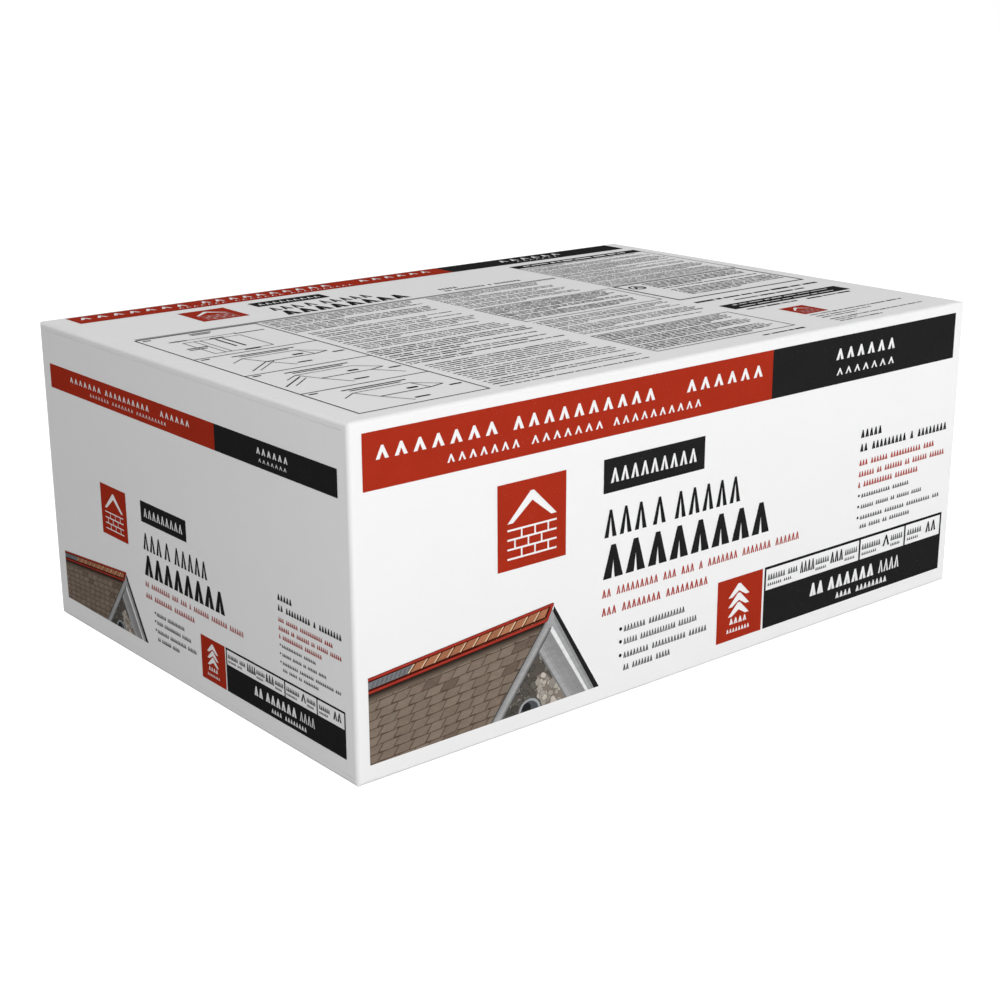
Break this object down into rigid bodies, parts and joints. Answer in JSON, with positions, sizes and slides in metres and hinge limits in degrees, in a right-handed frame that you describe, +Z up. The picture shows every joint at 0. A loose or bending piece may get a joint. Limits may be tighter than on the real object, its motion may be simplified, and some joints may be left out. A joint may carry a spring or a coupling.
{
  "type": "carton of asphalt hip and ridge shingles",
  "caption": "Closed corrugated carton, longer than wide and low, packed with two stacks of thick laminated asphalt shingle pieces for covering roof hips and ridges.",
  "frame": {"origin": "centre of the carton's base, on the surface it stands on", "axes": "+X along the carton's length, +Y from the front panel to the back panel, +Z up"},
  "size_m": [0.449, 0.305, 0.1765],
  "materials": {
    "corrugated_board": "matte",
    "asphalt_shingle": "matte"
  },
  "bodies": {
    "root": {"carton": "corrugated_board", "shingle_stack_left": "asphalt_shingle", "shingle_stack_right": "asphalt_shingle"}
  },
  "joints": []
}
